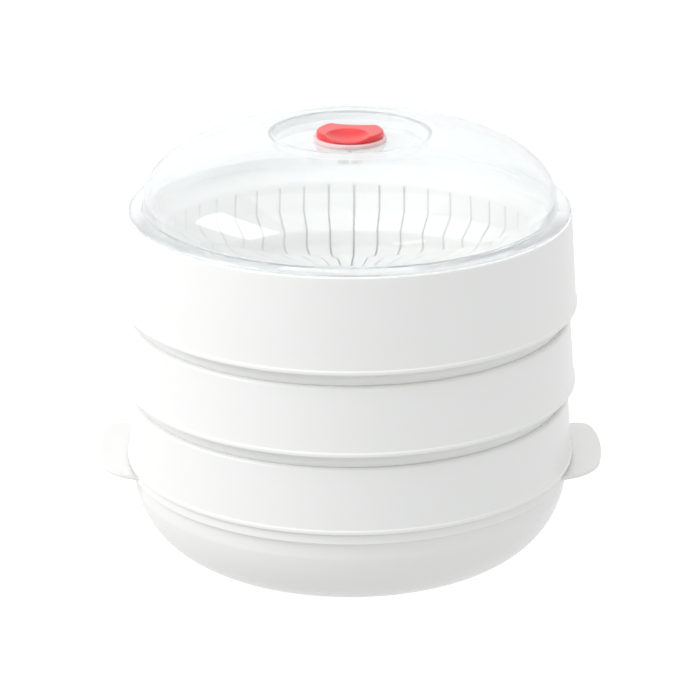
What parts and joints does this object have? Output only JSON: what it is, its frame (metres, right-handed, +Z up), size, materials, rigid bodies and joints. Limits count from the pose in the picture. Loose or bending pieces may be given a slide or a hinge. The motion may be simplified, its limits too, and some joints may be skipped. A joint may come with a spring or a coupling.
{
  "type": "stacking food steamer",
  "caption": "Round stacking steamer for a microwave: eared water bowl, slotted baskets in wall rings, clear domed lid with a turning vent knob.",
  "frame": {"origin": "centre of the water bowl's flat underside, at the bottom centre of the whole stack's box", "axes": "+Z up along the stack's axis; +X towards the right ear; the knob's dish opens towards -Y, the front, 8 degrees off towards -X"},
  "size_m": [0.254, 0.226, 0.2159],
  "materials": {
    "ring_plastic": "semi-gloss moulded white plastic",
    "bowl_plastic": "semi-gloss moulded white plastic, slightly translucent",
    "basket_plastic": "satin moulded warm white plastic",
    "clear_lid": "clear moulded plastic with a slight haze",
    "seat_plastic": "pale glossy plastic",
    "knob_red": "glossy red plastic"
  },
  "bodies": {
    "water_bowl": {"water_bowl": "bowl_plastic"},
    "lower_ring": {"lower_ring": "ring_plastic"},
    "lower_basket": {"lower_basket": "basket_plastic"},
    "middle_ring": {"middle_ring": "ring_plastic"},
    "middle_basket": {"middle_basket": "basket_plastic"},
    "top_ring": {"top_ring": "ring_plastic"},
    "top_basket": {"top_basket": "basket_plastic"},
    "lid": {"lid": "clear_lid", "vent_seat": "seat_plastic"},
    "vent_knob": {"vent_knob": "knob_red"}
  },
  "joints": [
    {"name": "lower_ring_lift", "type": "slide", "parent": "water_bowl", "child": "lower_ring", "axis": [0, 0, 1], "range_m": [0, 0.07]},
    {"name": "lower_basket_lift", "type": "slide", "parent": "lower_ring", "child": "lower_basket", "axis": [0, 0, 1], "range_m": [0, 0.07]},
    {"name": "middle_ring_lift", "type": "slide", "parent": "lower_basket", "child": "middle_ring", "axis": [0, 0, 1], "range_m": [0, 0.07]},
    {"name": "middle_basket_lift", "type": "slide", "parent": "middle_ring", "child": "middle_basket", "axis": [0, 0, 1], "range_m": [0, 0.07]},
    {"name": "top_ring_lift", "type": "slide", "parent": "middle_basket", "child": "top_ring", "axis": [0, 0, 1], "range_m": [0, 0.07]},
    {"name": "top_basket_lift", "type": "slide", "parent": "top_ring", "child": "top_basket", "axis": [0, 0, 1], "range_m": [0, 0.07]},
    {"name": "lid_lift", "type": "slide", "parent": "top_basket", "child": "lid", "axis": [0, 0, 1], "range_m": [0, 0.07]},
    {"name": "vent_knob_turn", "type": "hinge", "parent": "lid", "child": "vent_knob", "pos_m": [0, 0, 0.2111], "axis": [0, 0, 1], "range_deg": [0, 90]}
  ]
}
